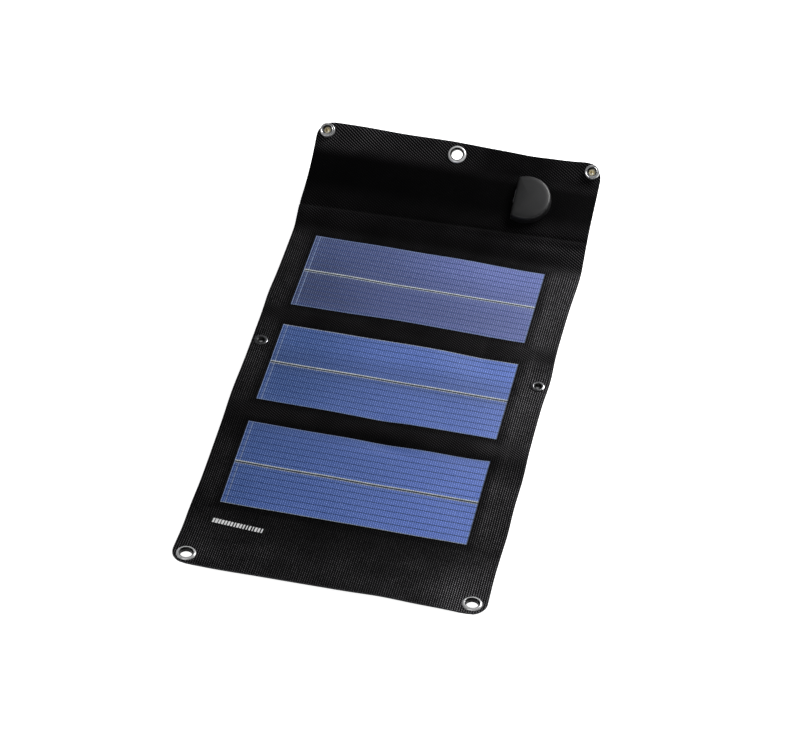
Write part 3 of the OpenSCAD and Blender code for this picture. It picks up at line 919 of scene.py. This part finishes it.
def turned(name, profile, spots, material, inner=None, inner_from=0):
    """Sweeps a closed profile of (radius, height) about each spot; the inner part may take a
    painted shade.
    """
    profile = np.array(profile)
    count = len(profile)
    angle = np.arange(SEGMENTS) * 2 * math.pi / SEGMENTS
    radius, height = profile.T
    round_about = np.stack(
        [
            np.outer(np.cos(angle), radius).ravel(),
            np.outer(np.sin(angle), radius).ravel(),
            np.tile(height, SEGMENTS),
        ],
        -1,
    )
    vertices, faces = [], []
    for x, run in spots:
        base = len(vertices) * len(round_about)
        matrix = np.array(seat(x, run))
        vertices.append(round_about @ matrix[:3, :3].T + matrix[:3, 3])
        for i in range(SEGMENTS):
            j = (i + 1) % SEGMENTS
            for a in range(count):
                b = (a + 1) % count
                faces.append(
                    (base + i * count + a, base + j * count + a,
                     base + j * count + b, base + i * count + b)
                )
    piece = link_mesh(name, np.concatenate(vertices), faces)
    piece.data.materials.append(material)
    if inner:
        piece.data.materials.append(inner)
        sides = np.arange(len(faces)) % count
        piece.data.polygons.foreach_set("material_index", (sides >= inner_from).astype(np.int32))
    smooth_over(piece.data, 38)
    return piece


def metal_finish(name, dark, bright, roughness, metallic=1.0, scratches=0.25):
    material, tree, shader = fresh_finish(name, {"Metallic": metallic, "Roughness": roughness})
    spot = put(tree, "ShaderNodeTexCoord").outputs["Object"]
    cloudy = mottle(tree, spot, 260.0)
    tree.links.new(
        ramp(tree, cloudy, [(0.32, dark), (0.62, bright)]), shader.inputs["Base Color"]
    )
    fine = mottle(tree, spot, 2600.0, 4.0)
    rough = calc(tree, "MULTIPLY_ADD", cloudy, 0.16, roughness - 0.08)
    tree.links.new(rough, shader.inputs["Roughness"])
    raise_bumps(tree, shader, fine, scratches, 0.00005)
    return material


nickel = metal_finish("nickel", (0.76, 0.76, 0.77), (0.95, 0.95, 0.95), 0.22, 0.4)
brass = metal_finish("brass", (0.8, 0.68, 0.42), (0.98, 0.92, 0.7), 0.3, 0.45)
worn_nickel = metal_finish("worn_nickel", (0.4, 0.4, 0.41), (0.66, 0.66, 0.66), 0.3, 0.65)
gunmetal = metal_finish("gunmetal", (0.14, 0.14, 0.145), (0.32, 0.32, 0.33), 0.26)
# Painted shade for the insides of bores and holes
bore_painted_shade = metal_finish("bore_painted_shade", (0.008, 0.008, 0.008), (0.03, 0.03, 0.03), 0.4)
steel = metal_finish("steel", (0.42, 0.43, 0.45), (0.62, 0.63, 0.65), 0.3)
# Painted shade for the pressed pits in the socket groove
pit_painted_shade = metal_finish("pit_painted_shade", (0.05, 0.05, 0.05), (0.12, 0.12, 0.12), 0.5)


def arc(middle_r, middle_h, size_r, size_h, from_deg, to_deg, count):
    angles = np.radians(np.linspace(from_deg, to_deg, count))
    return [(middle_r + size_r * math.cos(a), middle_h + size_h * math.sin(a)) for a in angles]


EYELET_BORE = 4.75
eyelet_profile = [(5.15, -0.9), (5.15, TOP), (7.55, TOP)]
eyelet_profile += arc(6.275, TOP + 0.1, 1.525, 1.28, 0, 180, 15)
eyelet_profile += [(EYELET_BORE, 0.4), (EYELET_BORE, -0.9)]
washer_profile = [(5.15, 0.0), (5.15, -0.5), (5.45, -0.78), (6.4, -0.82), (7.3, -0.6)]
washer_profile += [(7.8, -0.15), (7.8, 0.0)]
for name, spots, body, node in [
    ("eyelet_flap", EYELETS[:1], "flap", "flap_eyelet"),
    ("eyelets_hem", EYELETS[1:], "hem", "hem_eyelets"),
]:
    ring_piece = turned(name, eyelet_profile, spots, nickel, bore_painted_shade, 11)
    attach(ring_piece, body)
    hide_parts(node)
    back_ring = turned(name + "_washer", washer_profile[::-1], spots, nickel)
    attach(back_ring, body)
    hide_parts(node[:-1] + "_washers" if body == "hem" else node + "_washer")

# Ring socket: a rolled rim, a shallow groove with pressed pits and an inner lip round the hole;
# painted shade darkens the pits and the inner lip
socket_profile = [(2.6, TOP), (6.0, TOP), (6.3, TOP + 0.3), (6.3, TOP + 1.9)]
socket_profile += arc(5.65, TOP + 2.3, 0.65, 0.8, 0, 120, 7)
socket_profile += [(4.95, TOP + 2.74), (4.5, TOP + 2.82)]
socket_profile += arc(4.0, TOP + 2.55, 0.6, 0.6, 60, 180, 6)
socket_profile += [(3.4, TOP + 2.1), (4.6, TOP + 2.0), (4.6, TOP + 0.8), (2.6, TOP + 0.8)]
sockets = turned("ring_sockets", socket_profile, SOCKETS, worn_nickel, bore_painted_shade, 14)
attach(sockets, "flap")
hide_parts("snap_sockets")

pit_sizes = {
    "Count": 7, "Circle": 5.05, "Pit": 0.62, "Depth": 0.3, "Height": TOP + 2.7,
    "Material": pit_painted_shade,
}
pit_tree, given = new_tree("pressed_pits", pit_sizes)
circle = put(
    pit_tree, "GeometryNodeMeshCircle", [("Vertices", given["Count"]), ("Radius", given["Circle"])]
)
pit = put(
    pit_tree, "GeometryNodeMeshIcoSphere", [("Radius", given["Pit"]), ("Subdivisions", 2)]
)
around = put(
    pit_tree,
    "GeometryNodeInstanceOnPoints",
    [("Points", circle.outputs[0]), ("Instance", pit.outputs[0]),
     ("Scale", vector(pit_tree, 1.0, 1.0, given["Depth"]))],
)
lifted = put(
    pit_tree,
    "GeometryNodeTransform",
    [("Geometry", around.outputs[0]), ("Translation", vector(pit_tree, 0.0, 0.0, given["Height"]))],
)
close_tree(pit_tree, given, lifted.outputs[0])
pits = []
for number, (x, run) in enumerate(SOCKETS):
    pit_piece = grow(f"pits_{number}", pit_tree, pit_sizes)
    pit_piece.data.transform(seat(x, run) @ Matrix.Rotation(0.35 + number, 4, "Z"))
    smooth_over(pit_piece.data)
    pits.append(pit_piece)
pits = join_pieces("socket_pits", pits)
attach(pits, "flap")

# Cap behind each socket, with the brass barrel that is flared over inside it
cap_profile = [(1.8, -1.0), (1.8, TOP + 1.3), (2.3, TOP + 1.42), (2.9, TOP + 1.25)]
cap_profile += [(2.9, TOP + 0.9), (2.6, TOP + 0.7), (2.6, 0.0), (6.1, 0.0), (6.3, -0.2)]
cap_profile += [(6.2, -0.7), (5.6, -1.05), (4.0, -1.2), (0.3, -1.2), (0.3, -1.0)]
caps = turned("barrel_caps", cap_profile[::-1], SOCKETS, brass)
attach(caps, "flap")
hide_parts("socket_caps")

post_profile = [(2.6, -0.8), (2.6, TOP), (5.5, TOP), (5.7, TOP + 0.2), (5.6, TOP + 0.55)]
post_profile += [(5.1, TOP + 0.82), (4.2, TOP + 0.9), (3.4, TOP + 0.86), (2.7, TOP + 0.6)]
post_profile += [(2.1, TOP + 0.1), (1.8, TOP - 0.6), (1.8, -0.8)]
posts = turned("stud_post_flanges", post_profile, POSTS, gunmetal, bore_painted_shade, 7)
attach(posts, "panel_2")
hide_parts("stud_posts")

knob_profile = [(2.6, 0.0), (2.6, -2.8), (2.8, -3.0), (3.0, -2.95), (3.1, -2.6), (2.9, -2.0)]
knob_profile += [(2.75, -1.2), (2.9, -0.85), (5.2, -0.7), (5.65, -0.45), (5.7, 0.0)]
knobs = turned("stud_knobs", knob_profile[::-1], POSTS, gunmetal)
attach(knobs, "panel_2")
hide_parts("snap_studs")

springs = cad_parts["socket_springs"]
springs.data.materials.clear()
springs.data.materials.append(steel)

# ---------------------------------------------------------------------------------------------
# Junction box
# A moulded D-shaped cover on a thin base, screwed together from behind, with an outlet in its
# flat side. The cover is satin charcoal plastic with a rounded top edge and a slight crown.
# ---------------------------------------------------------------------------------------------
BOX_R = 21.2
BOX_FLAT = 10.0
BOX_H = 8.5
BOX_WALL = 1.5
CORNER_ROUND = 3.0
BASE_T = 1.0
USB_W = 13.2
USB_H = 5.4
USB_Z = TOP + BASE_T

housing, tree, shader, spot = mottled_finish(
    "housing", {"Roughness": 0.46, "Specular IOR Level": 0.45}, 60.0,
    [(0.3, (0.007, 0.007, 0.0075)), (0.7, (0.014, 0.014, 0.0145))],
)
raise_bumps(tree, shader, mottle(tree, spot, 2200.0, 2.0), 0.2, 0.00005)


def d_outline(inset):
    """Points round the D, drawn in by an inset; the corners keep what is left of their round."""
    corner = max(CORNER_ROUND - inset, 0.3)
    r, flat = BOX_R - inset, BOX_FLAT - inset
    core_y = math.sqrt((r - corner) ** 2 - (flat - corner) ** 2)
    core = np.array([-(flat - corner), core_y])
    limit = math.atan2(core[1], core[0])
    big = np.linspace(-limit, limit, 100)
    points = [(r * math.cos(a), r * math.sin(a)) for a in big]
    bend = np.linspace(limit, math.pi, 12)[1:]
    points += [(core[0] + corner * math.cos(a), core[1] + corner * math.sin(a)) for a in bend]
    points += [(-flat, y) for y in np.linspace(core_y, -core_y, 30)[1:-1]]
    points += [(core[0] + corner * math.cos(a), -core[1] - corner * math.sin(a))
               for a in bend[::-1]]
    return np.array(points)


def box_rings():
    """Outer wall, rounded edge and crown, then the inner face back down to the rim."""
    rings = []
    for inset, height in [(0.0, BASE_T), (0.0, 3.0), (0.06, 5.0), (0.2, 6.0), (0.5, 6.8),
                          (0.95, 7.4), (1.5, 7.75), (2.1, 7.95)]:
        rings.append((d_outline(inset), TOP + height))
    rim = d_outline(2.1)
    middle = rim.mean(0)
    for share, height in [(0.85, 8.12), (0.65, 8.3), (0.4, 8.43), (0.15, BOX_H)]:
        rings.append((middle + (rim - middle) * share, TOP + height))
    inner = d_outline(BOX_WALL)
    for share, height in [(0.15, 7.2), (0.6, 7.15), (0.97, 6.9), (1.0, 6.5), (1.0, BASE_T)]:
        rings.append((middle + (inner - middle) * share, TOP + height))
    return rings


rings = box_rings()
ring_size = len(rings[0][0])
CROWN_LEVEL = 11
shell_points = np.concatenate(
    [np.column_stack([points, np.full(len(points), height)]) for points, height in rings]
)
faces = []
for level in range(len(rings)):
    following = (level + 1) % len(rings)
    if level == CROWN_LEVEL:
        continue
    for i in range(ring_size):
        j = (i + 1) % ring_size
        faces.append(
            (level * ring_size + i, level * ring_size + j,
             following * ring_size + j, following * ring_size + i)
        )
crown_start, ceiling_start = CROWN_LEVEL * ring_size, (CROWN_LEVEL + 1) * ring_size
faces.append(tuple(crown_start + i for i in range(ring_size)))
faces.append(tuple(ceiling_start + i for i in range(ring_size - 1, -1, -1)))
cover = link_mesh("junction_cover", shell_points, faces)
cover.data.materials.append(housing)
slot_low = (-BOX_FLAT - 2, -USB_W / 2 - 0.15, USB_Z - 1)
slot_high = (-BOX_FLAT + BOX_WALL + 0.8, USB_W / 2 + 0.15, USB_Z + USB_H + 0.15)
corners = [
    (x, y, z)
    for x in (slot_low[0], slot_high[0])
    for y in (slot_low[1], slot_high[1])
    for z in (slot_low[2], slot_high[2])
]
cutter = link_mesh(
    "cutter", corners,
    [(0, 1, 3, 2), (4, 6, 7, 5), (0, 4, 5, 1), (2, 3, 7, 6), (0, 2, 6, 4), (1, 5, 7, 3)],
)
cut = cover.modifiers.new("outlet", "BOOLEAN")
cut.object = cutter
cut.solver = "EXACT"
settle(cover)
bpy.data.objects.remove(cutter)
cover.data.transform(seat(*BOX_AT))
smooth_over(cover.data, 40)
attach(cover, "flap")
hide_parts("box_cover")

board_green = mottled_finish(
    "board_green", {"Roughness": 0.35}, 500.0,
    [(0.45, (0.01, 0.1, 0.035)), (0.6, (0.03, 0.2, 0.08))],
)[0]
ferrite = metal_finish("ferrite", (0.04, 0.04, 0.045), (0.08, 0.08, 0.085), 0.6, 0.0)
can = metal_finish("can", (0.5, 0.51, 0.53), (0.7, 0.7, 0.72), 0.3)
chip = metal_finish("chip", (0.012, 0.012, 0.012), (0.025, 0.025, 0.025), 0.5, 0.0)
white_plastic = metal_finish("white_plastic", (0.72, 0.72, 0.7), (0.84, 0.84, 0.82), 0.4, 0.0)
zinc = metal_finish("zinc", (0.5, 0.5, 0.52), (0.68, 0.68, 0.7), 0.32)
for node, material in [
    ("box_base", housing), ("circuit_board", board_green), ("inductor", ferrite),
    ("capacitors", can), ("regulator_chip", chip), ("usb_shell", steel),
    ("usb_tongue", white_plastic), ("cover_screws", zinc),
]:
    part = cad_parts[node]
    part.data.materials.clear()
    part.data.materials.append(material)

# ---------------------------------------------------------------------------------------------
# Marking
# A narrow black label on the hem's left side, with a row of plain white bars printed on it.
# ---------------------------------------------------------------------------------------------
LABEL_W = 46.4
LABEL_L = 6.8
LABEL_AT = (-81.7, 456.2)
LABEL_TURN = -4.0

label_black = mottled_finish(
    "label_black", {"Roughness": 0.5, "Specular IOR Level": 0.12}, 400.0,
    [(0.3, (0.003, 0.003, 0.003)), (0.7, (0.007, 0.007, 0.007))],
)[0]
print_white = mottled_finish(
    "print_white", {"Roughness": 0.55}, 900.0,
    [(0.3, (0.74, 0.74, 0.75)), (0.6, (0.95, 0.95, 0.95))],
)[0]


def turn_flat(piece):
    """Turns a flat piece drawn about the origin to the label's place on the cloth."""
    c, s = math.cos(math.radians(LABEL_TURN)), math.sin(math.radians(LABEL_TURN))
    for vertex in piece.data.vertices:
        x, down, height = vertex.co
        vertex.co = (LABEL_AT[0] + x * c + down * s, LABEL_AT[1] - x * s + down * c, height)


bar_sizes = {
    "Count": 17, "Pitch": 2.45, "Width": 1.1, "Height": 5.0, "Lift": 0.2, "Seed": 5,
    "Material": print_white,
}
bar_tree, given = new_tree("printed_bars", bar_sizes)
bar_span = calc(bar_tree, "SUBTRACT", given["Count"], 1.0)
half_span = calc(bar_tree, "MULTIPLY", calc(bar_tree, "MULTIPLY", bar_span, given["Pitch"]), -0.5)
first = vector(bar_tree, half_span, 0.0, given["Lift"])
bar_size = vector(bar_tree, given["Width"], given["Height"], 0.06)
bar = put(bar_tree, "GeometryNodeMeshCube", [("Size", bar_size)])
wide = put(
    bar_tree,
    "FunctionNodeRandomValue",
    [(2, 0.7), (3, 1.9), ("Seed", given["Seed"])],
    data_type="FLOAT",
)
stretch = vector(bar_tree, wide.outputs[1], 1.0, 1.0)
row = instance_row(
    bar_tree, given["Count"], first, vector(bar_tree, given["Pitch"]), bar.outputs[0], stretch
)
close_tree(bar_tree, given, row)

bars = grow("marking_bars", bar_tree, bar_sizes)
turn_flat(bars)
lay(bars)
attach(bars, "hem")

label = flat_bar(
    "marking_strip", -LABEL_W / 2, LABEL_W / 2, -LABEL_L / 2, LABEL_L / 2, -0.05, 0.15,
    24, label_black, 5, turn_flat,
)
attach(label, "hem")
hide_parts("marking_label")
